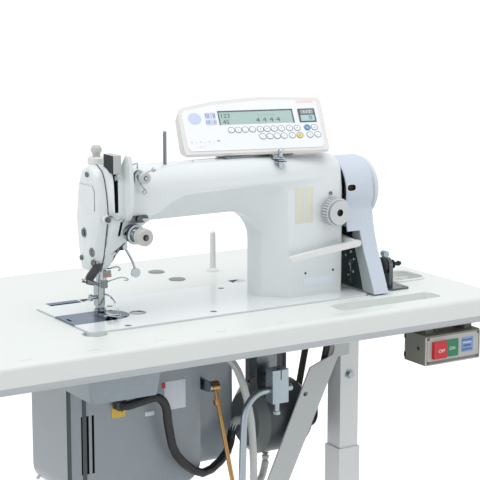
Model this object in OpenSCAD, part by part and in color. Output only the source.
// Industrial single-needle lockstitch sewing station.
// The head (bed and arm) stands in a cut-out of a table on a steel stand, with its drive below.
// Origin: on the floor, under the centre of the table. +X right, +Y to the back, +Z up.
// Modules draw in head coordinates (needle axis at x = 0, y = 0, table surface at z = 0),
// and station() moves them to the place of the table.

/* [Table] */
// Length of the table top, left to right
table_l = 1200; // [1100:10:1400]
// Depth of the table top, front to back
table_w = 530; // [500:5:640]
// Thickness of the table top
table_t = 40; // [36:1:50]
// Height of the work surface above the floor
table_h = 780; // [740:5:860]
// Radius of the table's corners
table_corner_r = 24; // [12:1:60]
// Radius along the table's top and bottom edges
table_edge_r = 7; // [3:0.5:10]
// From the table's front edge back to the needle
needle_from_front = 186; // [170:1:215]

/* [Bed] */
// Length of the bed
bed_l = 476; // [468:1:500]
// Width of the bed, front to back
bed_w = 178; // [174:1:190]
// From the needle to the bed's left end
bed_left = 64; // [60:1:70]
// From the needle to the bed's front edge
bed_front = 83.4; // [80:0.2:88]
// How far the bed stands above the table
bed_rise = 2.5; // [2:0.1:5]
// Thickness of the bed plate
bed_plate_t = 11.5; // [10:0.5:14]
// Depth of the bed's ribs below the table surface
bed_depth = 38; // [36:0.5:44]
// Gap all round the bed in its cut-out
bed_gap = 1.2; // [0.8:0.1:2]
// Half width of the slide plate and needle plate
plate_half_w = 32; // [29:0.5:36]
// Thickness of the slide plate and needle plate
plate_t = 2; // [1.5:0.1:2.4]

/* [Arm] */
// Height of the arm's top
arm_top = 218; // [212:1:226]
// Height of the arm's underside above the table
arm_under = 138; // [130:1:142]
// From the arm's middle to its front and back faces
arm_half = 45; // [42:0.5:50]
// From the bed's right end back to the pillar's right wall
pillar_inset = 21; // [18:0.5:24]
// Width of the pillar
pillar_w = 132; // [126:1:140]
// Radius of the inner corner between arm and pillar
inner_r = 50; // [30:1:60]
// Width of the bevel round the inner edge
bevel_w = 35; // [20:1:36]
// Radius along the arm's top edges
top_r = 34; // [20:1:36]
// Height of the head's top
head_top = 224; // [221:1:230]
// Height of the nose's underside
nose_z = 70; // [66:0.5:76]
// Height of the main shaft
shaft_z = 157; // [154:0.5:162]
// Radius of the main shaft
shaft_r = 7; // [6:0.5:8]

/* [Needle and foot] */
// Radius of the needle bar
needle_bar_r = 3.6; // [3:0.1:4]
// Stroke of the needle bar
needle_stroke = 30.7; // [28:0.1:33]
// Height of the needle's point above the table, at the top of its stroke
needle_tip = 16; // [14:0.5:18]
// From the needle back to the presser bar
presser_y = 18; // [16:0.5:20]
// Radius of the presser bar
presser_bar_r = 4; // [3.5:0.1:4.5]
// Thickness of the presser foot's sole
sole_t = 3; // [2:0.1:4]

/* [Dials and covers] */
// Radius of the stitch length dial
dial_r = 21.5; // [18:0.5:24]
// Length of the stitch length dial
dial_l = 18; // [14:0.5:24]
// Radius of the handwheel
handwheel_r = 47; // [40:0.5:50]
// Thickness of the handwheel
handwheel_t = 12; // [9:0.5:14]
// Outer radius of the belt cover round the shaft
cover_r = 51; // [48:0.5:54]
// Width of the belt cover along the shaft
cover_w = 50; // [44:0.5:52]
// Wall of the belt cover
cover_wall = 2.5; // [2:0.1:3.5]

/* [Panel] */
// Width of the operation panel
panel_w = 230; // [200:1:240]
// Height of the operation panel along its face
panel_h = 100; // [96:1:110]
// Thickness of the operation panel
panel_t = 24; // [18:0.5:28]
// How far the panel leans back, in degrees
panel_lean = 38; // [34:1:42]
// How far the panel is turned towards the operator, in degrees
panel_yaw = 15; // [5:1:18]

/* [Stand and drive] */
// Side of the square leg columns
column_w = 36; // [30:1:44]
// From the table's end to the middle of a leg
leg_inset = 126; // [110:1:140]
// Length of the foot bars
foot_l = 500; // [460:5:520]
// Radius of the motor
motor_r = 58; // [50:1:62]
// Height of the motor's axis, below the table surface
motor_drop = 232; // [225:1:260]
// Radius of the handwheel's belt pulley
top_pulley_r = 34; // [28:0.5:38]
// Radius of the motor's belt pulley
motor_pulley_r = 30; // [26:0.5:40]
// Width of the V-belt
belt_w = 9; // [8:0.5:10]
// Length of the pedal plate, front to back
pedal_l = 200; // [160:5:210]
// Width of the pedal plate
pedal_w = 290; // [220:5:300]

/* [Hidden] */
// Radial clearance of a shaft that runs in a hole
run_gap = 0.05;
// Gap between faces that move past each other
slip = 0.3;

// Planes and lines that several pieces share
needle_y = needle_from_front - table_w / 2;
bed_right = bed_l - bed_left;
bed_back = bed_w - bed_front;
plate_bottom = bed_rise - bed_plate_t;
plate_seat = bed_rise - plate_t;
table_front = -needle_from_front;
table_back = table_w - needle_from_front;
floor_z = -table_h;
under_z = -table_t;
ledge_z = plate_bottom - 5;
seam_x = -9;
pillar_right = bed_right - pillar_inset;
pillar_left = pillar_right - pillar_w;
cover_x0 = pillar_right + 2;
cover_x1 = cover_x0 + cover_w;
belt_x = cover_x1 - 16;
wheel_x = cover_x1 + 3;
hinge_y = bed_back + 8;
hinge_z = -2;
hinge_xs = [31, pillar_left + 37];
upright_x = pillar_right - 46;
hook_z = -27;
tension_at = [26, 127.5];
pre_tension_at = [33, 210];
dial_at = [pillar_right - 21, 130];
rest_at = [pillar_left + 46, bed_back + 109.4];
winder_x = cover_x1 + 25;
bed_ribs = [60, 200, upright_x - 35];
lever_pivot = [-12, 84];
panel_at = [pillar_right - 136, -22, bed_rise + arm_top + 3.5];
knee_at = [268, -124];
pedal_axis = [-20, floor_z + 150];
pitman_x = 221;
pitman_foot = [-114, floor_z + 172];
pitman_head = [58, -150];
sensor_arm = 60;
column_y = 68;
leg_x = max(table_l / 2 - leg_inset, bed_right + 62);
beam_z = floor_z + 150;
motor_x = belt_x - 117;
motor_y = 112;
box_x = table_l / 2 - 110;
box_w = 105;
box_d = 55;
box_h = 46;

// ---------------------------------------------------------------- helpers
module station() translate([0, needle_y, table_h]) children();

// Round bar between two points
module rod(a, b, r) {
    d = b - a;
    len = norm(d);
    turn = atan2(d[1], d[0]);
    tilt = acos(d[2] / len);
    translate(a) rotate([0, tilt, turn]) cylinder(r = r, h = len, $fn = 48);
}

// Cylinder along X, Y or Z from its start point
module bar_x(r, l, n = 64) rotate([0, 90, 0]) cylinder(r = r, h = l, $fn = n);
module bar_y(r, l, n = 64) rotate([-90, 0, 0]) cylinder(r = r, h = l, $fn = n);
module bar_z(r, l, n = 64) cylinder(r = r, h = l, $fn = n);

// Flat shape with round corners
module round_rect(w, d, r) {
    hull() for (x = [r, w - r], y = [r, d - r]) translate([x, y]) circle(r = r, $fn = 32);
}

// Block with round upright edges
module round_block(size, r) linear_extrude(size[2]) round_rect(size[0], size[1], r);

// Screw head along Z with a straight slot
module slot_head(r, h) difference() {
    bar_z(r, h);
    translate([-r - 1, -r * 0.12, h * 0.55]) cube([2 * r + 2, r * 0.24, h]);
}

// Point on a smooth curve through a list of points
function curve_at(p, i, t) = let (n = len(p) - 1, a = p[max(i - 1, 0)], b = p[i],
    c = p[min(i + 1, n)], d = p[min(i + 2, n)])
    0.5 * (2 * b + (c - a) * t + (2 * a - 5 * b + 4 * c - d) * t * t
        + (3 * b - a - 3 * c + d) * t * t * t);
function smooth(p, steps) = concat([for (i = [0 : len(p) - 2], k = [0 : steps - 1])
    curve_at(p, i, k / steps)], [p[len(p) - 1]]);
function unit(v) = v / norm(v);
function side_of(t, up) = let (s = cross(t, up)) norm(s) > 0.001 ? unit(s) : unit(cross(t, [0, 0.3, 1]));

// Wire, hose or cable: a tube of n sides swept along a path
module sweep(path, r, n = 8, up = [0, 0, 1]) {
    last = len(path) - 1;
    dirs = [for (i = [0 : last]) unit(path[min(i + 1, last)] - path[max(i - 1, 0)])];
    rings = [for (i = [0 : last]) let (s = side_of(dirs[i], up), u = cross(dirs[i], s))
        for (k = [0 : n - 1]) path[i] + r * (cos(360 * k / n) * s + sin(360 * k / n) * u)];
    polyhedron(points = rings, faces = concat(
        [[for (k = [0 : n - 1]) k]],
        [for (i = [0 : last - 1], k = [0 : n - 1]) let (a = i * n + k, b = i * n + (k + 1) % n)
            each [[a, b + n, b], [a, a + n, b + n]]],
        [[for (k = [n - 1 : -1 : 0]) last * n + k]]));
}

// Solid through a stack of rings that have the same even number of points. Each end is closed
// by a ribbon of triangles between the first half of its ring and the second.
module loft(rings) {
    n = len(rings[0]);
    last = len(rings) - 1;
    ribbon = [for (k = [0 : n / 2 - 2]) each [[k, k + 1, n - 2 - k], [k, n - 2 - k, n - 1 - k]]];
    polyhedron(points = [for (ring = rings) each ring], faces = concat(
        ribbon,
        [for (i = [0 : last - 1], k = [0 : n - 1]) let (a = i * n + k, b = i * n + (k + 1) % n)
            each [[a, b + n, b], [a, a + n, b + n]]],
        [for (t = ribbon) [last * n + t[2], last * n + t[1], last * n + t[0]]]));
}

// ---------------------------------------------------------------- table
module slab() {
    r = table_edge_r;
    hull() for (x = [-1, 1], y = [0, 1])
        translate([x * (table_l / 2 - table_corner_r),
            table_front + table_corner_r + y * (table_w - 2 * table_corner_r), -table_t])
            rotate_extrude($fn = 32) union() {
                square([table_corner_r - r, table_t]);
                translate([0, r]) square([table_corner_r, table_t - 2 * r]);
                for (z = [r, table_t - r]) translate([table_corner_r - r, z]) circle(r = r, $fn = 24);
            }
}

module tray(x, y, l, w, depth) translate([x, y, -depth]) round_block([l, w, depth + 1], min(l, w) * 0.3);

module table_top() station() color("#eef0ee") difference() {
    slab();
    // stepped cut-out for the bed, with the belt slot at its right end
    translate([-bed_left - bed_gap, -bed_front - bed_gap, ledge_z])
        cube([bed_l + 2 * bed_gap, bed_w + 2 * bed_gap, table_t]);
    translate([-bed_left + 14, -bed_front + 13, -table_t - 1])
        cube([bed_l - 28, bed_w - 28, table_t + 2]);
    translate([bed_right - 8, -66, -table_t - 1]) cube([cover_x1 - bed_right + 3, 166, table_t + 2]);
    // finger notch at the slide plate's front corner
    translate([-bed_left + 6, -bed_front, ledge_z]) bar_z(18, table_t);
    // pockets for the hinge seats and the steel strip
    for (x = hinge_xs) translate([x - 12.2, bed_back - 1, -22]) cube([24.4, 30.2, 30]);
    translate([-36, bed_back + 4, -3]) cube([52, 26, 10]);
    // trays in the surface
    tray(318, -150, 188, 40, 11);
    tray(499, -31, 70, 68, 11);
    // plugged holes and the head rest's hole
    for (p = [[219.5, 242], [220, 174]]) translate([p[0], p[1], -20]) bar_z(11, 30);
    translate([rest_at[0], rest_at[1], -24]) bar_z(4.05, 40);
    // bolt holes of the stand, from below
    each_leg() for (dx = [-20, 45], y = [-70, 70]) translate([dx, y, -table_t - 1]) bar_z(3.3, 26);
}

module hole_plugs() station() color("#7c8184")
    for (p = [[219.5, 242], [220, 174]]) translate([p[0], p[1], 0]) {
        translate([0, 0, -12]) bar_z(10.8, 12);
        rotate_extrude($fn = 64) polygon([[0, 0], [13.7, 0], [13.2, 1.2], [9, 2.2], [0, 2.6]]);
    }

module head_rest_post() station() color("#f4f4f2") translate([rest_at[0], rest_at[1], 0]) {
    translate([0, 0, -22]) bar_z(4, 22);
    rotate_extrude($fn = 64)
        polygon([[0, 0], [10, 0], [10, 2], [6.5, 4], [5, 6], [4.6, 60], [4.2, 64], [2.5, 66], [0, 66]]);
}

module hinge_seats() station() color("#24272a") for (x = hinge_xs) difference() {
    translate([x - 12, bed_back + bed_gap, -22]) cube([24, 27.5, 21.5]);
    translate([x - 13, hinge_y, hinge_z]) bar_x(4 + run_gap, 26);
    translate([x - 5.3, bed_back - 1, -13]) cube([10.6, hinge_y - bed_back + 1, 30]);
    translate([x - 5.3, hinge_y, hinge_z]) bar_x(7.5, 10.6);
    translate([x - 5.3, hinge_y, hinge_z]) cube([10.6, 7.5, 20]);
}

module rear_strip() station() color("#a9b0b2") difference() {
    translate([-35.7, bed_back + 4.3, -3]) cube([51.4, 25.4, 3.2]);
    translate([-40, bed_back + 11, -1.8]) cube([62, 5, 4]);
}

module bed_cushions() station() color("#303436")
    for (x = [-bed_left + 4, bed_right - 28], y = [-bed_front + 1, bed_back - 15])
        translate([x, y, ledge_z]) difference() {
            round_block([12, 11, 5], 3);
            translate([6, 5.5, 2]) bar_z(2, 4);
        }

module oil_pan() station() color("#b8c2c8") difference() {
    union() {
        translate([-bed_left + 1, -bed_front + 2, -table_t - 2]) cube([bed_l - 2, bed_w - 4, 2]);
        hull() {
            translate([-bed_left + 6, -62, -table_t - 3]) round_block([130, 132, 2], 12);
            translate([-bed_left + 16, -54, -112]) round_block([110, 116, 10], 12);
        }
        translate([-bed_left + 16, -68, -60]) round_block([bed_l - 40, 142, 20], 10);
    }
    hull() {
        translate([-bed_left + 8.5, -59.5, -table_t - 1]) round_block([125, 127, 2], 11);
        translate([-bed_left + 18.5, -51.5, -109.5]) round_block([105, 111, 10], 11);
    }
    translate([-bed_left + 18.5, -65.5, -57.5]) round_block([bed_l - 45, 137, 20], 9);
}

// ---------------------------------------------------------------- stand
module column_section(side, wall) difference() {
    translate([-side / 2, -side / 2]) square([side, side]);
    translate([-side / 2 + wall, -side / 2 + wall]) square([side - 2 * wall, side - 2 * wall]);
}

module each_leg() for (s = [-1, 1]) translate([s * leg_x, column_y, 0]) mirror([s < 0 ? 1 : 0, 0, 0])
    children();

module stand_columns() station() color("#e9ebea") each_leg() {
    translate([0, 0, floor_z + 60]) linear_extrude(430) column_section(column_w + 5.2, 2.4);
    difference() {
        translate([-22, -foot_l / 2, floor_z + 20]) round_block([44, foot_l, 40], 8);
        for (y = [-foot_l / 2 + 30, foot_l / 2 - 30])
            translate([0, y, floor_z + 10]) bar_z(5 + run_gap, 60);
    }
    translate([-column_w / 2 - 1, -70, floor_z + 60]) for (y = [0, 1]) mirror([0, y, 0])
        translate([0, y * -140, 0]) rotate([90, 0, 90]) linear_extrude(3)
            polygon([[0, 0], [49.4, 0], [49.4, 90]]);
}

module stand_uppers() station() color("#f0f1f0") each_leg() {
    translate([0, 0, floor_z + 320]) linear_extrude(table_h - table_t - 323) column_section(column_w, 2.2);
    difference() {
        translate([-29, -90, under_z - 3]) cube([89, 180, 3]);
        for (dx = [-20, 45], y = [-70, 70]) translate([dx, y, under_z - 5]) bar_z(4, 10);
    }
}

module stand_braces() station() color("#c9cdcd") {
    inner = leg_x - column_w / 2 - 2.6;
    difference() {
        translate([-inner, column_y - 18, beam_z - 24]) cube([2 * inner, 36, 48]);
        translate([-inner - 1, column_y - 15.6, beam_z - 30]) cube([2 * inner + 2, 31.2, 51.6]);
    }
    // ears that carry the pedal's hinge pin
    for (x = [pitman_x - 49.6 - pedal_w, pitman_x - 44]) difference() {
        hull() {
            translate([x, column_y - 20, beam_z - 20]) cube([5, 2, 40]);
            translate([x, pedal_axis[0], pedal_axis[1]]) bar_x(11, 5, 32);
        }
        translate([x - 1, pedal_axis[0], pedal_axis[1]]) bar_x(5 + run_gap, 7);
    }
    // two flat bars from the leg tops to the beam
    for (s = [-1, 1]) mirror([s < 0 ? 1 : 0, 0, 0]) translate([0, column_y - 22.2, 0])
        rotate([90, 0, 0]) linear_extrude(3) difference() {
            polygon([[inner - 15, -86], [inner + 14, -86], [inner + 14, -128], [inner - 8, -130],
                [198, beam_z - 10], [162, beam_z - 10], [inner - 62, -141], [inner - 18, -125],
                    [inner - 15, -118]]);
            translate([inner - 71, -183.5]) circle(r = 4, $fn = 32);
        }
    for (s = [-1, 1]) translate([s * (inner + 7), column_y - 22.4, -100]) bar_y(5, 4.4);
    for (s = [-1, 1]) translate([s * 182, column_y - 22.4, beam_z]) bar_y(5, 4.4);
}

module stand_hardware() station() {
    color("#5a6063") each_leg() {
        // levelling feet and their studs
        for (y = [-foot_l / 2 + 30, foot_l / 2 - 30]) translate([0, y, floor_z]) {
            rotate_extrude($fn = 64) polygon([[0, 0], [21, 0], [21, 4], [14, 9], [0, 9]]);
            bar_z(5, 74);
            translate([0, 0, 13.5]) cylinder(r = 9, h = 6, $fn = 6);
        }
    }
    // bolts through the plates into the table top, and the bolts that clamp the columns
    color("#9aa6ad") each_leg() {
        for (dx = [-20, 45], y = [-70, 70]) translate([dx, y, under_z]) {
            translate([0, 0, -8]) cylinder(r = 6, h = 5, $fn = 6);
            translate([0, 0, -4]) bar_z(3, 24);
        }
        for (z = [floor_z + 400, under_z - 125])
            translate([0, -column_w / 2 - (z < -300 ? 2.6 : 0), z]) rotate([90, 0, 0]) {
                bar_z(8, 1.2);
                translate([0, 0, 1.2]) cylinder(r = 5.5, h = 4.5, $fn = 6);
            }
    }
}

// ---------------------------------------------------------------- drive under the table
module control_box() station() color("#c5ccd0") difference() {
    union() {
        translate([-28, 200, -306]) rotate([90, 0, 0]) linear_extrude(124) round_rect(233, 260, 34);
        for (x = [10, 160], y = [110, 180]) translate([x, y, -60]) bar_z(7, 20);
    }
    // cooling slots in the front and the bore of the sensor's shaft
    for (x = [-4 : 9 : 14]) translate([x, 70, -262]) cube([4, 12, 92]);
    translate([190, pitman_head[0] + sensor_arm, pitman_head[1]]) bar_x(5 + run_gap, 20);
}

module motor() station() {
    color("#5d6468") translate([motor_x, motor_y, -motor_drop]) {
        rotate([0, 90, 0]) rotate_extrude($fn = 96) polygon([[0, 0], [motor_r - 14, 0], [motor_r - 6, 8],
            [motor_r, 14], [motor_r, 89], [motor_r - 10, 101], [20, 103],
            [20, 107], [8 + run_gap, 107], [8 + run_gap, 73], [0, 73]]);
        for (a = [20 : 20 : 160]) rotate([a - 90, 0, 0]) translate([18, motor_r - 2, -1.5])
            cube([60, 6, 3]);
    }
    // hanger that bolts the motor below the table
    color("#8b9398") {
        translate([motor_x + 20, bed_back + 2, under_z - 6]) cube([62, 66, 6]);
        for (x = [motor_x + 20, motor_x + 62]) translate([x, bed_back + 2, -motor_drop])
            cube([8, 46, motor_drop - table_t - 3]);
    }
}

// Grooved pulley along X, centred on x = 0
module pulley(r, half) rotate([0, 90, 0]) rotate_extrude($fn = 96)
    polygon([[0, -half], [r, -half], [r, -belt_w / 2 - slip - 0.6], [r - 7, -belt_w / 2 - slip],
        [r - 7, belt_w / 2 + slip], [r, belt_w / 2 + slip + 0.6], [r, half], [0, half]]);

module motor_pulley() station() color("#6b7175") translate([belt_x, motor_y, -motor_drop]) {
    pulley(motor_pulley_r, 7);
    translate([-43, 0, 0]) bar_x(8, 37);
    translate([7, 0, 0]) bar_x(7, 6);
    translate([13, 0, 0]) rotate([0, 90, 0]) cylinder(r = 8, h = 6, $fn = 6);
}

module belt_loop(extra) hull() {
    circle(r = top_pulley_r - 7 + slip + extra, $fn = 64);
    translate([motor_drop + shaft_z, motor_y]) circle(r = motor_pulley_r - 7 + slip + extra, $fn = 64);
}

module v_belt() station() color("#2b2d2f")
    translate([belt_x - belt_w / 2, 0, shaft_z]) rotate([0, 90, 0]) linear_extrude(belt_w)
        difference() {
            belt_loop(6);
            belt_loop(0);
        }

// Routes of the two leads between control box and motor
conduit_route = [[60, 76, -158], [60, 72, -158], [60, 68, -158], [66, 58, -158], [86, 54, -154],
    [112, 50, -150], [128, 50, -166],
    [134, 52, -200], [150, 56, -250],
    [200, 62, -290], [motor_x - 46, 94, -276], [motor_x - 22, motor_y - 1, -236],
    [motor_x - 8, motor_y, -motor_drop], [motor_x - 4, motor_y, -motor_drop],
        [motor_x, motor_y, -motor_drop]];
lead_route = [[190, 76, -96], [190, 72, -96], [190, 68, -96], [200, 54, -95], [222, 44, -96],
    [242, 36, -112], [258, 32, -150], [272, 32, -210], [284, 44, -280], [motor_x - 4, 76, -330],
    [motor_x + 26, motor_y - 8, -336], [motor_x + 39, motor_y, -316], [motor_x + 40, motor_y, -300],
    [motor_x + 40, motor_y, -motor_drop - motor_r - 0.3]];

module cables() station() {
    color("#2a2c2e") sweep(smooth(conduit_route, 3), 7, 10);
    color("#d5d8d8") sweep(smooth(lead_route, 3), 6, 10);
}

// ---------------------------------------------------------------- knee lifter
module knee_bracket() station() color("#6f777b") difference() {
    translate([knee_at[0] - 18, -20, knee_at[1] - 13]) cube([36, 22, -60 - knee_at[1] + 13]);
    translate([knee_at[0], -22, knee_at[1]]) bar_y(5 + run_gap, 30);
}

module knee_clamp() station() color("#9ba2ab") {
    difference() {
        translate([knee_at[0] - 14, -60, knee_at[1] - 32]) round_block([29, 24, 52], 3);
        translate([knee_at[0], -62, knee_at[1]]) bar_y(5 + run_gap, 30);
        translate([knee_at[0] - 0.8, -62, knee_at[1]]) cube([1.6, 30, 30]);
        translate([knee_at[0] - 20, -48, knee_at[1] - 12.5]) bar_x(5.5 + run_gap, 50);
        translate([knee_at[0], -48, knee_at[1] - 40]) bar_z(4 + run_gap, 22);
    }
    translate([knee_at[0], -48, knee_at[1] - 52]) {
        bar_z(4, 33.5);
        cylinder(r = 6, h = 5, $fn = 6);
    }
}

module knee_rod() station() {
    y = -48;
    z = knee_at[1] - 12.5;
    color("#b9c3c9") {
        translate([knee_at[0], -60, knee_at[1]]) bar_y(5, 84);
        translate([knee_at[0] - 20, y, z]) bar_x(5.5, 46);
        sweep(smooth([[knee_at[0] - 20, y, z], [knee_at[0] - 34, y, z - 2], [knee_at[0] - 48, y, z - 12],
            [knee_at[0] - 56, y, z - 28], [knee_at[0] - 60, y, z - 60], [knee_at[0] - 64, y, z - 190]],
                3), 5.5, 12);
    }
    // knee pad on its plate
    color("#3a3e41") translate([knee_at[0] - 64, y, z - 205]) rotate([0, 90, 0]) hull() for (a = [-1, 1])
        translate([0, a * 6, -6]) cylinder(r1 = 30, r2 = 24, h = 12, $fn = 32);
}

// ---------------------------------------------------------------- pedal and its rod
module pedal() station() color("#d8dbdb") {
    right = pitman_x - 44.3;
    left = right - pedal_w;
    difference() {
        translate([left, pedal_axis[0] - pedal_l * 0.71, pedal_axis[1] + 7])
            round_block([pedal_w, pedal_l, 9], 18);
        for (x = [left + 24 : 26 : right - 20], y = [-100 : 26 : 30])
            translate([x, pedal_axis[0] + y, pedal_axis[1]]) bar_z(5.5, 20, 24);
    }
    for (x = [left + 1, right - 9]) translate([x, pedal_axis[0], pedal_axis[1]]) {
        bar_x(9, 8);
        translate([0, -9, 0]) cube([8, 18, 9]);
    }
    translate([left - 5.4, pedal_axis[0], pedal_axis[1]]) bar_x(5, pedal_w + 10.8);
    // arm that carries the rod's joint
    translate([right - 12, pitman_foot[0] - 8, pedal_axis[1] + 14]) cube([48.3, 16, 6]);
    translate([pitman_x - 12, pitman_foot[0], pitman_foot[1]]) bar_x(8, 4);
    translate([pitman_x - 12, pitman_foot[0] - 8, pedal_axis[1] + 14]) cube([4, 16, 8]);
}

module pitman_rod() station() {
    foot = [pitman_x, pitman_foot[0], pitman_foot[1]];
    head = [pitman_x, pitman_head[0], pitman_head[1]];
    way = unit(head - foot);
    color("#b08a4a") {
        rod(foot + 6 * way, head - 6 * way, 3.4);
        rod(head - 30 * way, head - 22 * way, 7);
    }
    color("#3b3f42") for (p = [foot, head]) translate(p - [8 - slip, 0, 0]) bar_x(8.5, 13);
    color("#3b3f42") rod(foot + 6 * way, foot + 34 * way, 5);
}

module sensor_lever() station() color("#9aa3a8") {
    y = pitman_head[0] + sensor_arm;
    translate([pitman_x - 12, 0, 0]) rotate([90, 0, 90]) linear_extrude(4) hull() {
        translate([y, pitman_head[1]]) circle(r = 11, $fn = 32);
        translate([pitman_head[0], pitman_head[1]]) circle(r = 8, $fn = 32);
    }
    translate([193, y, pitman_head[1]]) bar_x(5, pitman_x - 203);
}

// ---------------------------------------------------------------- switch box
module switch_box() station() {
    front = table_front + 7;
    color("#d3d6d0") difference() {
        translate([box_x - box_w / 2 + 14, front, under_z - 57]) round_block([box_w, box_d, box_h], 3);
        translate([box_x - box_w / 2 + 25, front - 1, under_z - 47]) cube([50.4, 14, 26.4]);
        translate([box_x - box_w / 2 + 16, front + 4, under_z - 55]) cube([box_w - 4, 0.8, box_h + 1]);
    }
    color("#8d9490") for (x = [box_x - box_w / 2 + 24, box_x + box_w / 2 - 6])
        translate([x, front + 14, under_z - 11]) cube([14, 30, 11]);
}

module push_button(x, proud) translate([x, table_front + 7, under_z - 46.8]) {
    translate([0, -proud, 0]) cube([24.6, proud + 6, 26]);
}

module off_button() station() color("#d6322e") push_button(box_x - box_w / 2 + 25.3, 6);
module on_button() station() color("#1d8f4e") push_button(box_x - box_w / 2 + 50.5, 2);

// ---------------------------------------------------------------- bobbin winder on the table
module winder_base() station() color("#555b5f") difference() {
    union() {
        translate([winder_x - 8, -78, 0]) round_block([36, 56, 3], 4);
        translate([winder_x, -62, 3]) cube([7, 24, 33]);
        translate([winder_x, -50, 36]) bar_x(12, 7);
    }
    translate([winder_x - 1, -50, 36]) bar_x(3 + run_gap, 9);
    translate([winder_x - 1, -41, 15]) bar_x(2.5 + run_gap, 9);
    for (y = [-72, -28]) translate([winder_x + 20, y, -1]) bar_z(2.2, 5);
}

module winder_wheel() station() color("#3d4144") translate([winder_x, -50, 36]) {
    translate([-12, 0, 0]) bar_x(3, 42);
    translate([-9, 0, 0]) rotate([0, 90, 0]) rotate_extrude($fn = 64)
        polygon([[0, 0], [11, 0], [13, 2], [13, 6], [11, 8], [0, 8]]);
    translate([14, 0, 0]) bar_x(7, 1.5);
    translate([25, 0, 0]) bar_x(4, 2);
}

module winder_lever() station() color("#8a9296") {
    translate([winder_x - 2, -41, 15]) bar_x(2.5, 12);
    translate([winder_x + 7.3, 0, 0]) rotate([90, 0, 90]) linear_extrude(2.5) hull() {
        translate([-41, 15]) circle(r = 5, $fn = 32);
        translate([-34, 46]) circle(r = 3, $fn = 32);
    }
    translate([winder_x + 7.3, -34, 50]) rotate([90, 0, 0]) translate([4, 0, -5]) bar_z(5, 10);
}

// ---------------------------------------------------------------- bed
module bed_recess(gap) {
    translate([-bed_left - 1, -plate_half_w - gap, plate_seat])
        cube([bed_left + 6, 2 * plate_half_w + 2 * gap, 5]);
    translate([5, 0, plate_seat]) bar_z(plate_half_w + gap, 5, 96);
}

module bed() station() color("#e9ebea") difference() {
    union() {
        translate([-bed_left, -bed_front, plate_bottom]) round_block([bed_l, bed_w, bed_plate_t], 6);
        difference() {
            translate([-46, -60, -bed_depth]) cube([bed_right + 28, 136, bed_depth + plate_bottom + 1]);
            translate([-42, -56, -bed_depth - 1]) cube([bed_right + 20, 128, bed_depth + plate_bottom + 1]);
        }
        for (x = bed_ribs) translate([x, -58, -bed_depth]) cube([8, 132, bed_depth + plate_bottom + 1]);
        for (x = hinge_xs) {
            translate([x - 5, bed_back - 3, plate_bottom]) cube([10, hinge_y - bed_back + 3, 7]);
            translate([x - 5, hinge_y, hinge_z]) bar_x(6.5, 10);
            translate([x - 11.5, hinge_y, hinge_z]) bar_x(4, 23);
        }
    }
    bed_recess(0.2);
    // openings below the slide plate and the needle plate, and the passage of the feed bar
    translate([-bed_left + 6, -26, -bed_depth - 1]) cube([42, 52, 60]);
    translate([-12, -24, -20]) cube([32, 48, 30]);
    translate([-7.2, 60, -20.2]) cube([14.4, 20, 5.4]);
    translate([0, 0, hook_z]) bar_x(5.5 + run_gap, upright_x - 15);
    translate([upright_x, 0, -20]) bar_z(6 + run_gap, 40);
    // seats of the screws and of the sight window
    for (p = [[0, -73], [148, -61], [34, 50], [240, 70]]) translate([p[0], p[1], bed_rise - 3])
        bar_z(5.1, 8);
    translate([50, -8.5, bed_rise - 4]) bar_z(12.9, 8);
}

module bed_plugs() station() {
    color("#5b6164") for (p = [[0, -73], [148, -61], [34, 50], [240, 70]])
        translate([p[0], p[1], bed_rise - 3]) slot_head(5, 2.8);
    color("#8fa0a6") translate([50, -8.5, bed_rise - 4]) rotate_extrude($fn = 64)
        polygon([[0, 0], [12.8, 0], [12.8, 4.2], [10.5, 4.4], [9.5, 3.4], [0, 3.4]]);
}

module needle_plate() station() color("#c7cdd0") difference() {
    intersection() {
        translate([5, 0, plate_seat]) bar_z(plate_half_w, plate_t, 96);
        translate([-13, -50, plate_seat]) cube([60, 100, plate_t]);
    }
    translate([0, 0, -2]) bar_z(1, 10);
    for (x = [-5, 0, 5]) translate([x - 1.3, -11, -2]) cube([2.6, x == 0 ? 9 : 24, 10]);
    translate([-1.3, 4, -2]) cube([2.6, 9, 10]);
    for (y = [-23, 23]) translate([22, y, plate_seat + 0.8]) bar_z(2.8, 3, 32);
}

module slide_plate() station() color("#d3d8da") difference() {
    translate([-bed_left, -plate_half_w, plate_seat]) cube([bed_left - 13.3, 2 * plate_half_w, plate_t]);
    translate([-bed_left + 5, -8, plate_seat - 1]) round_block([4, 16, 5], 1.9);
}

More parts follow.
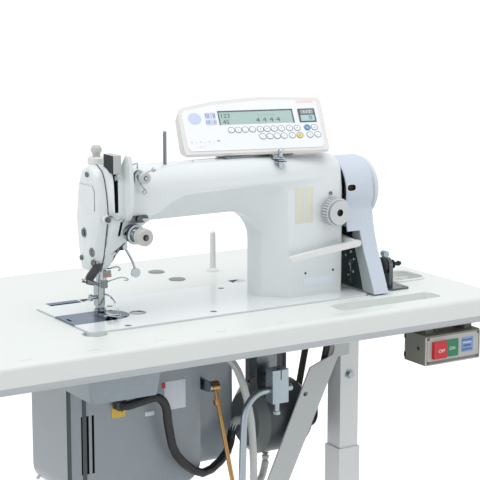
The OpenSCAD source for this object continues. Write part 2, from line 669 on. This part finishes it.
// ---------------------------------------------------------------- arm
// The arm's outline in X and Z. Each entry holds a point of the full section, the place it reaches
// on the front and back faces, and the depth of its round, or of its bevel when negative.
seam = [[nose_z, 3, 152, -36], [82, 2.5, 153, -31], [95, 2, 154, -25], [119, 2, 157, -19],
    [140, 3, 161, -14],
    [156, 4, 166, 10], [184, 5, 184, 14], [205, 6, 194, 20], [head_top - 8, 7, 199, 27],
        [head_top, 8, 202, 43]];
arm_outline = concat(
    [[[pillar_left, bed_rise], [pillar_left + bevel_w, bed_rise], -bevel_w],
        [[pillar_left, 20], [pillar_left + bevel_w - 2, 30], -bevel_w],
        [[pillar_left, 45], [pillar_left + bevel_w - 4, 80], -bevel_w],
        [[pillar_left, 72], [pillar_left + bevel_w - 5.5, 130], -bevel_w]],
    [for (a = [0 : 15 : 90]) [[pillar_left - inner_r * (1 - cos(a)), arm_under - inner_r * (1 - sin(a))],
        [pillar_left + 17 + 12 * cos(a), arm_under + 27 + 12 * sin(a)], -bevel_w]],
    [for (p = [[0.834, 0.821, 42.5], [0.662, 0.607, 41.5], [0.455, 0.384, 40], [0.248, 0.214, 38],
        [0.11, 0.107, 30], [0, 0.018, 16]]) [[64 + p[0] * (pillar_left - inner_r - 64), arm_under],
        [64 + p[1] * (pillar_left - 35), arm_under + p[2]], -bevel_w]],
    [for (p = [[52, 137.5, 50, 150, -14], [44, 133, 40, 150.3, -14], [34, 124.5, 30, 150.6, -16],
        [24, 113, 22, 150.9, -22], [14, 94, 15, 151.2, -28], [6, 79, 10, 151.4, -32],
            [0, 71.5, 7, 151.6, -34]])
        [[p[0], p[1]], [p[2], p[3]], p[4]]],
    [for (p = seam) [[seam_x, p[0]], [p[1], p[2]], p[3]]],
    [[[4, head_top], [12, 198], 34], [[20, head_top], [22, 192], 34],
        [[40, arm_top + 3.5], [42, arm_top - top_r + 2], top_r],
            [[62, arm_top], [62, arm_top - top_r], top_r]],
    [for (x = [112, 200, pillar_right - 91, pillar_right - 40])
        [[x, arm_top], [x, arm_top - top_r], top_r]],
    [for (a = [90 : -15 : 0]) let (k = a / 90)
        [[pillar_right - 20 + 20 * cos(a), arm_top - 20 + 20 * sin(a)],
            [pillar_right - 12 - 7 * k, arm_top - top_r], 16 + (top_r - 16) * k]],
    [for (p = [[arm_top - top_r - 1, 11], [165, 7], [100, 6], [20, 6], [bed_rise, 6]])
        [[pillar_right, p[0]], [pillar_right - p[1], p[0]], p[1]]]);

function pull(r, d) = d >= abs(r) ? 0 : r < 0 ? 1 + d / r : 1 - sqrt(1 - pow(1 - d / r, 2));
function arm_ring(d, y, k) = [for (e = arm_outline) let (r = e[2] < 0 ? e[2] * k : e[2],
    p = e[0] + (e[1] - e[0]) * pull(r, d)) [p[0], y, p[1]]];
arm_depths = [0, 1.2, 4, 9, 15, 22, 30, 38];

module arm() station() color("#f1f3f2") difference() {
    union() {
        loft(concat([for (d = arm_depths) arm_ring(d, d - arm_half, 1)],
            [for (i = [7 : -1 : 0]) arm_ring(arm_depths[i], arm_half - arm_depths[i], 0.6)]));
        // fin that guards the take-up lever's slot
        translate([12, 0, 0]) rotate([90, 0, 90]) linear_extrude(6)
            polygon([[-36, 146], [-50, 148], [-57, 156], [-61, 172], [-62, 200], [-60, 224], [-55, 240],
                [-48, 241], [-40, 232], [-30, 216], [-30, 190]]);
        // bosses of the upper thread tension and of the touch lever
        translate([pre_tension_at[0], -47, pre_tension_at[1]]) bar_y(10, 27);
        translate([20, -4, 97]) cube([16, 8, 24]);
    }
    // hollow behind the face plate with the slots of the take-up lever
    translate([0, 23, 0]) rotate([90, 0, 0]) linear_extrude(46)
        polygon([[seam_x - 1, 96], [4, 96], [9, 106],
        [16, 114], [27, 128], [33, 136], [33, head_top - 18], [seam_x - 1, head_top - 18]]);
    translate([-3, -50, 160]) cube([5, 40, head_top - 161]);
    translate([6, -50, 124]) cube([4, 40, 22]);
    // bores of the needle bar, the presser bar and the main shaft
    translate([0, 0, nose_z - 5]) bar_z(needle_bar_r + run_gap, 60);
    translate([0, 0, head_top - 30]) bar_z(needle_bar_r + run_gap, 40);
    translate([0, presser_y, nose_z - 5]) bar_z(presser_bar_r + run_gap, 60);
    translate([0, presser_y, head_top - 30]) bar_z(presser_bar_r + 2 + run_gap, 40);
    translate([30, 0, shaft_z]) bar_x(shaft_r + run_gap, pillar_right - 11);
    translate([50, 0, shaft_z]) bar_x(shaft_r + 5, pillar_right - 61);
    translate([20, -10, 188]) bar_x(2.5 + run_gap, 26, 32);
    // holes of the wire guides and the seat of the bobbin thread's tension
    translate([44, -24, arm_top - 5]) bar_z(1.2, 20, 24);
    translate([4, 4, nose_z - 2]) bar_z(1.2, 15, 24);
    translate([panel_at[0] + 26, -26, arm_top - 3.6]) bar_z(9, 10);
    // hollow of the pillar and the bore of the upright shaft
    translate([upright_x - 45, -28, 20]) cube([80, 56, 176]);
    translate([upright_x, 0, -5]) bar_z(6 + run_gap, 40);
    // seats and bores of the pieces on the front and on the right
    translate([tension_at[0], -60, tension_at[1]]) bar_y(14.6, 24);
    translate([tension_at[0], -60, tension_at[1]]) bar_y(3.05, 44);
    translate([pre_tension_at[0], -60, pre_tension_at[1]]) bar_y(2.55, 40);
    translate([dial_at[0], -60, dial_at[1]]) bar_y(4 + run_gap, 40);
    translate([pillar_right - 20, lever_pivot[0], lever_pivot[1]]) bar_x(4 + run_gap, 30);
    translate([31, -10, 102]) bar_y(2 + run_gap, 20, 32);
    translate([14, 10, 128]) bar_y(4 + run_gap, 40);
}

// ---------------------------------------------------------------- face plate
// The face plate's outline: the line where the arm's rounds meet the seam
function plate_ring(x, k) = let (front = [for (i = [9 : -1 : 0])
    [abs(seam[i][3]) - arm_half, seam[i][0] - 150]],
    back = [for (p = seam) [arm_half - abs(p[3]) * (p[3] < 0 ? 0.6 : 1), p[0] - 150]])
    [for (p = concat(back, front)) [x, k * p[0], 150 + k * p[1]]];
face_x = seam_x - 16.5;

module face_plate() station() color("#f4f5f5") difference() {
    union() {
        loft([plate_ring(face_x, 0.88), plate_ring(face_x + 1.5, 0.96), plate_ring(face_x + 5, 1),
            plate_ring(seam_x, 1)]);
        // raised badge, left bare
        translate([face_x - 1.2, 0, 0]) rotate([90, 0, 90]) linear_extrude(2)
            polygon([[-25, 162], [4, 162], [22, 177], [22, 196], [-20, 197], [-25, 190]]);
    }
    loft([plate_ring(face_x + 3, 0.86), plate_ring(seam_x + 1, 0.9)]);
    translate([-18, -30, 79]) bar_y(2 + run_gap, 30, 32);
    for (p = [[-4, 212], [10, 126], [-16, 101], [-18, 86], [18, 88]])
        translate([face_x - 1, p[0], p[1]]) bar_x(2.6, 8, 32);
    translate([-14, -60, 151]) bar_y(2.6, 35, 32);
}

module face_screws() station() color("#3a3f42") {
    for (p = [[-4, 212], [10, 126], [-16, 101], [-18, 86], [18, 88]])
        translate([face_x - 0.9, p[0], p[1]]) rotate([0, -90, 0]) {
            translate([0, 0, -4]) bar_z(2.5, 4.5, 32);
            slot_head(3.8, 1.6);
        }
    translate([pillar_right - 25, -arm_half, 158]) rotate([90, 0, 0]) slot_head(2.8, 2);
}

// ---------------------------------------------------------------- guards and guides on the head
module head_guards() station() {
    // hood over the upper end of the take-up slot
    color("#c4c9c8") difference() {
        translate([-7, 0, head_top]) rotate([90, 0, 90]) linear_extrude(12.5)
            polygon([[-48, -8], [-48, 18], [-18, 18], [-18, 0], [-26, -2], [-36, -7.2], [-40, -8]]);
        translate([-5, -46, head_top - 12]) cube([8.5, 30, 28]);
    }
}

module thread_guides() station() {
    color("#7d858a") {
        // thread post on the arm
        difference() {
            translate([98, -8, arm_top]) bar_z(2.6, 48, 32);
            translate([90, -8, arm_top + 42]) bar_x(1, 16, 24);
        }
        // wire guide on the arm's top
        sweep(smooth([[44, -24, arm_top - 4], [44, -24, arm_top], [44, -24, arm_top + 4],
            [41, -29, arm_top + 8], [34, -34, arm_top + 8], [24, -38, arm_top + 7], [21, -37, arm_top + 4],
            [29, -38, arm_top + 3]], 4), 1.1, 8);
    }
    color("#b9c0c4") {
        // eyes above and below the upper tension
        for (p = [[54, 219], [39, 188]]) let (out = unit([p[0] - 33, 0, p[1] - 210]))
            sweep(smooth([[33, -48, 210] + 9.6 * out, [33, -51, 210] + 14 * out,
                [p[0] + 3, -54, p[1]], [p[0], -54, p[1] - 3], [p[0] - 3, -54, p[1]],
                [p[0], -54, p[1] + 3]], 4), 1, 8);
        // plate with its screw over the main tension
        translate([19, -arm_half, 143]) rotate([90, 0, 0]) linear_extrude(1.4) round_rect(30, 11, 5);
        // hook beside the seam
        sweep(smooth([[-14, -40, 157], [-10, -44, 156], [-3, -48, 150], [3, -51, 152], [7, -50, 148],
            [10, -47, 150]], 4),
            1.1, 8);
        // guides below the nose and on the way to the needle
        sweep(smooth([[4, 4, nose_z + 12], [4, 4, nose_z + 8], [4, 4, nose_z + 4], [7, 1, nose_z + 1],
            [14, -4, nose_z + 3], [20, -6, nose_z + 3.5],
            [22, -9, nose_z], [18, -10, nose_z - 1]], 4), 1.1, 8);
    }
    // tension post of the bobbin thread, below the panel
    color("#dfe4e6") translate([panel_at[0] + 26, -26, arm_top - 3.6]) {
        bar_z(3, 7, 32);
        for (z = [1.4, 4.4]) translate([0, 0, z]) bar_z(8.5, 2, 48);
    }
    color("#b4746a") translate([-4, -9, nose_z - 9]) difference() {
        cube([11, 3, 9.1]);
        translate([8, -1, 3]) bar_y(1.2, 6, 24);
    }
    color("#33383a") {
        translate([34, -arm_half - 1.4, 149]) rotate([90, 0, 0]) slot_head(4.6, 3);
        translate([-14, -42, 151]) rotate([90, 0, 0]) slot_head(4, 3);
    }
    color("#eef0f0") translate([-14, -42, 151]) rotate([-90, 0, 0]) difference() {
        bar_z(6, 6.95);
        translate([0, 0, -1]) bar_z(2.6, 6, 24);
    }
}

// Thread tension along the front: seat, discs, spring up to the nut at y1, and post in front of y0
module tension(at, y0, y1, r, post, len) translate([at[0], 0, at[1]]) {
    color("#3a3f42") translate([0, y0 - 2, 0]) bar_y(r + 0.5, 2);
    color("#a9b1b6") translate([0, y0 - 2, 0]) rotate([90, 0, 0]) rotate_extrude($fn = 64)
        polygon([[0, 0], [r - 2, 0], [r, 1.4], [r - 3, 2.2], [r, 3], [r - 2, 4.4], [0, 4.4]]);
    color("#d2d7da") {
        translate([0, y0 - len, 0]) bar_y(post, len + 18);
        sweep([for (i = [0 : 60]) let (t = i / 60, c = r * (0.52 - 0.12 * t))
            [c * cos(1440 * t), y0 - 6 - t * (y0 - y1 - 7.3), c * sin(1440 * t)]], 0.8, 8, [0, 1, 0]);
    }
}

module tension_posts() station() {
    tension(tension_at, -arm_half - 3, -arm_half - 20, 14, 3, 36);
    color("#565d61") translate([tension_at[0], -arm_half - 3, tension_at[1]]) bar_y(13, 12);
    tension(pre_tension_at, -47, -62, 8.5, 2.5, 24);
}

module nut(r, len, bore) rotate([90, 0, 0]) rotate_extrude($fn = 64)
    polygon([[bore, 0], [r * 0.7, 0], [r, 2], [r, len - 1.5], [r - 1.5, len], [bore, len]]);

module main_nut() station() color("#eceeee")
    translate([tension_at[0], -arm_half - 20, tension_at[1]]) nut(12.5, 16, 3.05);
module pre_nut() station() color("#eceeee")
    translate([pre_tension_at[0], -62, pre_tension_at[1]]) nut(8.5, 8, 2.55);

// ---------------------------------------------------------------- moving pieces of the head
module take_up_lever() station() color("#c3c9cc") {
    translate([-1.7, 0, 0]) rotate([90, 0, 90]) linear_extrude(2.4) difference() {
        union() {
            translate([-10, 188]) circle(r = 5.5, $fn = 48);
            hull() {
                translate([-12, 190]) circle(r = 4, $fn = 32);
                translate([-48, 212]) circle(r = 3, $fn = 32);
            }
        }
        translate([-48, 212]) circle(r = 1.2, $fn = 24);
    }
    translate([-1.7, -10, 188]) bar_x(2.5, 45, 32);
}

module needle_bar() station() color("#ccd3d6") {
    translate([0, 0, 44]) bar_z(needle_bar_r, head_top - 54);
    translate([0, 0, 44]) bar_z(needle_bar_r + 1.8, 11);
    translate([-9, 0, 49]) bar_x(2, 9, 32);
    // needle
    translate([0, 0, needle_tip]) cylinder(r1 = 0.1, r2 = 0.7, h = 4, $fn = 24);
    translate([0, 0, needle_tip + 4]) bar_z(0.7, 14, 24);
    translate([0, 0, needle_tip + 18]) bar_z(1, 46 - needle_tip - 18, 24);
    // driver and the link that rides beside the crank
    translate([-6, -6, 150]) cube([17, 12, 10]);
    translate([10, 0, 0]) rotate([90, 0, 90]) linear_extrude(7.5) difference() {
        union() {
            translate([-6, 150]) square([12, 22]);
            translate([0, 172.35]) circle(r = 8, $fn = 48);
        }
        translate([0, 172.35]) circle(r = 3.4, $fn = 32);
    }
    color("#a9b1b6") sweep(smooth([[3, -4, 53], [12, -8, 56], [24, -9, 58], [34, -9, 55], [34, -7, 52],
        [29, -7, 53]], 4),
        0.9, 8);
}

module presser_bar() station() color("#c3c9cc") {
    translate([0, presser_y, 24]) bar_z(presser_bar_r, head_top - 54);
    // clamp and its screw
    translate([-5, presser_y - 8, 14]) cube([10, 14, 30]);
    translate([-13, presser_y - 3, 28]) bar_x(3, 9, 32);
    translate([-16, presser_y - 3, 28]) bar_x(5, 3, 32);
    translate([-5, presser_y - 8, 6.7]) cube([10, 9, 8]);
    translate([-8.2, presser_y - 4, 8]) bar_x(2, 16.4, 32);
    // wire that keeps fingers from the needle
    color("#aab2b7") sweep(smooth([[3, 12, 32], [10, 4, 30], [13.5, -9, 21], [13, -20, 10],
        [10.5, -30, 6], [2, -32, 7],
        [-8, -30, 9]], 4), 1.1, 8);
}

module presser_sole() station() color("#b4bcc0") difference() {
    union() {
        translate([-9, 0, 0]) rotate([90, 0, 90]) linear_extrude(18)
            polygon([[-27, 8], [-24, 4.2], [-20, 2.8], [8, 2.8], [20, 5], [20, 6.2],
                [10, 2.8 + sole_t - 0.8],
                [-20, 2.8 + sole_t - 0.8], [-26, 9]]);
        for (x = [-8, 5.3]) translate([x, presser_y - 4, 8]) {
            bar_x(3.4, 2.7, 32);
            translate([0, -3.4, -4]) cube([2.7, 6.8, 4]);
        }
    }
    translate([-10, presser_y - 4, 8]) bar_x(2 + run_gap, 20, 32);
    translate([-1.2, -30, 0]) cube([2.4, 33, 12]);
    bar_z(1.8, 12, 32);
}

module pressure_knob() station() translate([0, presser_y, head_top]) color("#f2f3f3") difference() {
    union() {
        translate([0, 0, -16]) bar_z(presser_bar_r + 2, 16);
        rotate_extrude($fn = 64) polygon([[0, 0], [7.5, 0], [7.5, 3], [6, 5], [5.6, 12], [6.4, 15],
            [8, 17], [8, 21],
            [6.5, 24], [4, 26], [0, 26]]);
    }
    translate([0, 0, -17]) bar_z(presser_bar_r + slip, 20, 32);
}

module hand_lifter() station() color("#3f4446") {
    translate([14, 24, 128]) bar_y(4, 26);
    translate([0, 45.4, 0]) rotate([-90, 0, 0]) linear_extrude(5) hull() {
        translate([14, -128]) circle(r = 9, $fn = 48);
        translate([56, -104]) circle(r = 5, $fn = 32);
    }
    translate([56, 45.4, 104]) bar_y(5, 14, 32);
}

module wiper() station() {
    color("#25282b") translate([0, -15.8, 0]) rotate([90, 0, 0]) linear_extrude(4)
        polygon([[-44, 60], [-38, 66], [-34, 72], [-25, 82], [-13, 84], [-12, 77], [-20, 70], [-27, 61],
            [-17, 55], [-18, 52], [-32, 57]]);
    color("#aab2b7") {
        translate([-18, -20, 79]) bar_y(2, 14, 32);
        translate([-40, -20.5, 62.5]) bar_y(1.5, 10, 24);
    }
}

module touch_lever() station() color("#a9b1b6") {
    translate([31, -8, 102]) bar_y(2, 12.5, 32);
    translate([31, -8, 102]) bar_y(4, 3.7, 32);
    sweep(smooth([[32, -6.2, 100], [39, -6.2, 88], [45, -6.2, 76], [48.5, -6.2, 64]], 4), 1.8, 10);
    translate([48.5, -8.5, 62]) bar_y(7, 4);
}

module feed_dog() station() color("#aab2b7") {
    for (x = [-5, 5]) translate([x - 1, -8, -3]) cube([2, 18, 5.3]);
    translate([-1, 6, -3]) cube([2, 4, 5.3]);
    difference() {
        translate([-7, -16, -7]) cube([14, 38, 5]);
        translate([-3, -6, -8]) cube([6, 12, 7]);
    }
    translate([-7, 18, -20]) cube([14, 4, 14]);
    translate([-7, 18, -20]) cube([14, 58.5, 5]);
}

// ---------------------------------------------------------------- shafts and hook
module handwheel() station() color("#dfe3e4") translate([0, 0, shaft_z]) difference() {
    union() {
        translate([belt_x, 0, 0]) pulley(top_pulley_r, 8);
        translate([belt_x + 8, 0, 0]) bar_x(12, wheel_x - belt_x - 7);
        translate([wheel_x, 0, 0]) rotate([0, 90, 0]) rotate_extrude($fn = 96)
            polygon([[0, 0], [handwheel_r - 8, 0], [handwheel_r - 2, 1.5], [handwheel_r, 4],
                [handwheel_r, handwheel_t - 3], [handwheel_r - 3, handwheel_t],
                    [handwheel_r - 9, handwheel_t],
                [handwheel_r - 13, handwheel_t - 3], [20, handwheel_t - 3], [18, handwheel_t],
                    [0, handwheel_t]]);
    }
    translate([belt_x - 20, 0, 0]) bar_x(shaft_r + run_gap, 80);
}

module main_shaft() station() color("#b5bdc1") translate([0, 0, shaft_z]) {
    translate([24, 0, 0]) bar_x(shaft_r, wheel_x + handwheel_t - 26);
    // crank that drives the needle bar
    translate([22, 0, 0]) bar_x(19, 9.5);
    translate([18.2, 0, needle_stroke / 2]) bar_x(3, 5, 32);
    translate([upright_x - 14.2, 0, 0]) rotate([0, 90, 0]) cylinder(r1 = 13.8, r2 = 7.8, h = 6, $fn = 64);
}

module upright_shaft() station() color("#b5bdc1") translate([upright_x, 0, 0]) {
    translate([0, 0, hook_z + 6]) bar_z(6, shaft_z - 8.5 - hook_z - 6);
    translate([0, 0, shaft_z - 14.2]) cylinder(r1 = 13.8, r2 = 7.8, h = 6, $fn = 64);
    translate([0, 0, hook_z + 6.3]) cylinder(r1 = 12, r2 = 17.6, h = 3, $fn = 64);
    translate([0, 0, hook_z + 9.3]) bar_z(17.6, 4);
}

module hook() station() color("#9fa7ab") translate([0, 0, hook_z]) {
    translate([-20, 0, 0]) rotate([0, 90, 0]) rotate_extrude($fn = 64)
        polygon([[14.4, 0], [17, 0], [17, 12], [15, 18], [8, 18.5], [8, 34], [0, 34], [0, 15], [14.4, 15]]);
    translate([14, 0, 0]) bar_x(5.5, upright_x - 38);
    translate([upright_x - 24, 0, 0]) rotate([0, 90, 0]) cylinder(r1 = 11.6, r2 = 8.6, h = 6, $fn = 64);
}

module bobbin_case() station() color("#d7dcde") translate([-20, 0, hook_z]) {
    translate([-2, 0, 0]) rotate([0, 90, 0]) rotate_extrude($fn = 64)
        polygon([[3, 0], [10, 0], [13.9, 1], [13.9, 16], [3, 16]]);
    // arm that holds the case still against the bed's wall
    translate([-22, 4, -2]) cube([21, 5, 4]);
}

// ---------------------------------------------------------------- controls on the pillar
module stitch_dial() station() color("#f1f2f2") translate([dial_at[0], -arm_half - 3, dial_at[1]]) {
    rotate([90, 0, 0]) difference() {
        union() {
            rotate_extrude($fn = 96) polygon([[0, 0], [dial_r, 0], [dial_r, dial_l * 0.7],
                [dial_r - 2, dial_l * 0.75],
                [dial_r - 3, dial_l], [0, dial_l]]);
            for (a = [0 : 12 : 348]) rotate([0, 0, a]) translate([dial_r - 0.5, -1, 2])
                cube([1.1, 2, dial_l * 0.7 - 2.5]);
        }
        translate([0, 0, dial_l - 4]) bar_z(5.5, 6, 32);
    }
    bar_y(4, 22);
}

module reverse_lever() station() color("#f1f2f2") {
    translate([pillar_right - 11, lever_pivot[0], lever_pivot[1]]) bar_x(4, 26);
    translate([pillar_right + 3, lever_pivot[0], lever_pivot[1]]) bar_x(8, 11);
    translate([pillar_right + 5, 0, 0]) rotate([90, 0, 90]) linear_extrude(7)
        polygon([[lever_pivot[0], lever_pivot[1] + 5], [lever_pivot[0], lever_pivot[1] - 6], [-56, 73],
            [-64, 73],
            [-64, 84], [-56, 85]]);
    translate([0, -56, 0]) rotate([90, 0, 0]) linear_extrude(8) hull() {
        translate([pillar_right + 16, 79]) circle(r = 5, $fn = 32);
        translate([pillar_right - 104, 66.2]) circle(r = 4, $fn = 32);
    }
}

function cover_outline(w) = concat([[-94 + w, bed_rise], [-86 + w, 21], [-76 + w, 43], [-65 + w, 65],
    [-56 + w, 90],
    [-51 + w, 110], [-48.5 + w, 124]],
    [for (a = [206 : -13 : -15]) [(cover_r - w) * cos(a), shaft_z + (cover_r - w) * sin(a)]],
    [[90 - w, bed_rise]]);

module belt_cover() station() color("#cfd8dd") difference() {
    translate([cover_x0, 0, 0]) rotate([90, 0, 90]) linear_extrude(cover_w) polygon(cover_outline(0));
    translate([cover_x0 - 1, 0, 0]) rotate([90, 0, 90]) linear_extrude(cover_w + 1 - cover_wall)
        polygon(concat(cover_outline(cover_wall), [[90 - cover_wall, 0], [-94 + cover_wall, 0]]));
    translate([cover_x0 + 10, 0, shaft_z]) bar_x(14, cover_w);
    // notch for the reverse lever and the air hole
    translate([cover_x0 - 1, -120, -1]) cube([24, 95, 98]);
    hull() for (x = [6, 12]) translate([cover_x0 + x, -60, 164]) bar_y(4.8, 20, 48);
}

// ---------------------------------------------------------------- operation panel
module panel_frame() translate(panel_at) rotate([0, 0, -panel_yaw]) rotate([-panel_lean, 0, 0]) children();

module panel_bracket() station() color("#4a4f52") {
    translate([panel_at[0] - 55, -11, arm_top]) cube([120, 30, 3]);
    hull() {
        translate([panel_at[0], panel_at[1], arm_top + 2.5]) rotate([0, 0, -panel_yaw])
            translate([-28, panel_t * cos(panel_lean) + 19 * sin(panel_lean) + 1, 0]) cube([56, 3, 0.5]);
        panel_frame() translate([-30, panel_t, 34]) cube([60, 3, 24]);
    }
}

module panel_case() station() color("#dddde0") panel_frame() {
    difference() {
        intersection() {
            rotate([90, 0, 0]) translate([0, 0, -panel_t]) linear_extrude(panel_t)
                polygon([for (p = [[-110, 0.4],
                [-114.5, 3], [-116.5, 10], [-117, 32], [-115.5, 78], [-113, 84], [-108, 86.5],
                    [-62, 96], [-20, 100], [20, 102],
                [104, 98], [110, 96], [112.7, 90], [110, 7], [108, 2], [103, 0.6]])
                [p[0] * panel_w / 230, p[1] * panel_h / 102]]);
            translate([-130, 0, 0]) rotate([90, 0, 90]) linear_extrude(260)
                polygon([[3, 0], [0, 3], [0, panel_h + 1], [panel_t * 0.58, panel_h + 1],
                    [panel_t, panel_h - 12],
                    [panel_t, 19]]);
        }
        translate([0, panel_t - 2, 20]) cube([12, 5, 12], center = true);
    }
}

module panel_face() station() panel_frame() {
    kx = panel_w / 230;
    kz = panel_h / 102;
    color("#e8edf6") translate([0, -0.8, 0]) rotate([-90, 0, 0]) mirror([0, 1, 0]) linear_extrude(0.8)
        polygon([for (p = [[-106, 8], [-111, 14], [-111, 74], [-106, 80], [-61, 89], [20, 95.5], [101, 92],
            [105.5, 88], [103, 12], [98, 7.5]]) [p[0] * kx, p[1] * kz]]);
    color("#a9c8a0") translate([-54 * kx, -1.2, 53 * kz]) cube([116 * kx, 1.2, 23.5 * kz]);
    color("#33393d") translate([72 * kx, -1.2, 53 * kz]) cube([26 * kx, 1.2, 23 * kz]);
    color("#c9cfd6") {
        for (s = [-39, -28, -17, -5.6, 6.6, 17.3, 28.6, 40, 53, 65.3, 81.5, 93])
            translate([s * kx, -1.6, 43 * kz]) bar_y(4.2, 1.6, 32);
        for (s = [8.3, 19.6, 30.9, 42, 54.9, 67.2, 83.3, 95.8])
            translate([s * kx, -1.6, 29.8 * kz]) bar_y(4.2, 1.6, 32);
    }
}

table_top();
hole_plugs();
head_rest_post();
hinge_seats();
rear_strip();
bed_cushions();
oil_pan();
stand_columns();
stand_uppers();
stand_braces();
stand_hardware();
control_box();
motor();
motor_pulley();
v_belt();
cables();
knee_bracket();
knee_clamp();
knee_rod();
pedal();
pitman_rod();
sensor_lever();
switch_box();
off_button();
on_button();
winder_base();
winder_wheel();
winder_lever();
bed();
arm();
face_plate();
face_screws();
needle_plate();
slide_plate();
bed_plugs();
head_guards();
take_up_lever();
thread_guides();
tension_posts();
main_nut();
pre_nut();
pressure_knob();
needle_bar();
presser_bar();
presser_sole();
hand_lifter();
wiper();
touch_lever();
feed_dog();
handwheel();
main_shaft();
upright_shaft();
hook();
bobbin_case();
stitch_dial();
reverse_lever();
belt_cover();
panel_bracket();
panel_case();
panel_face();
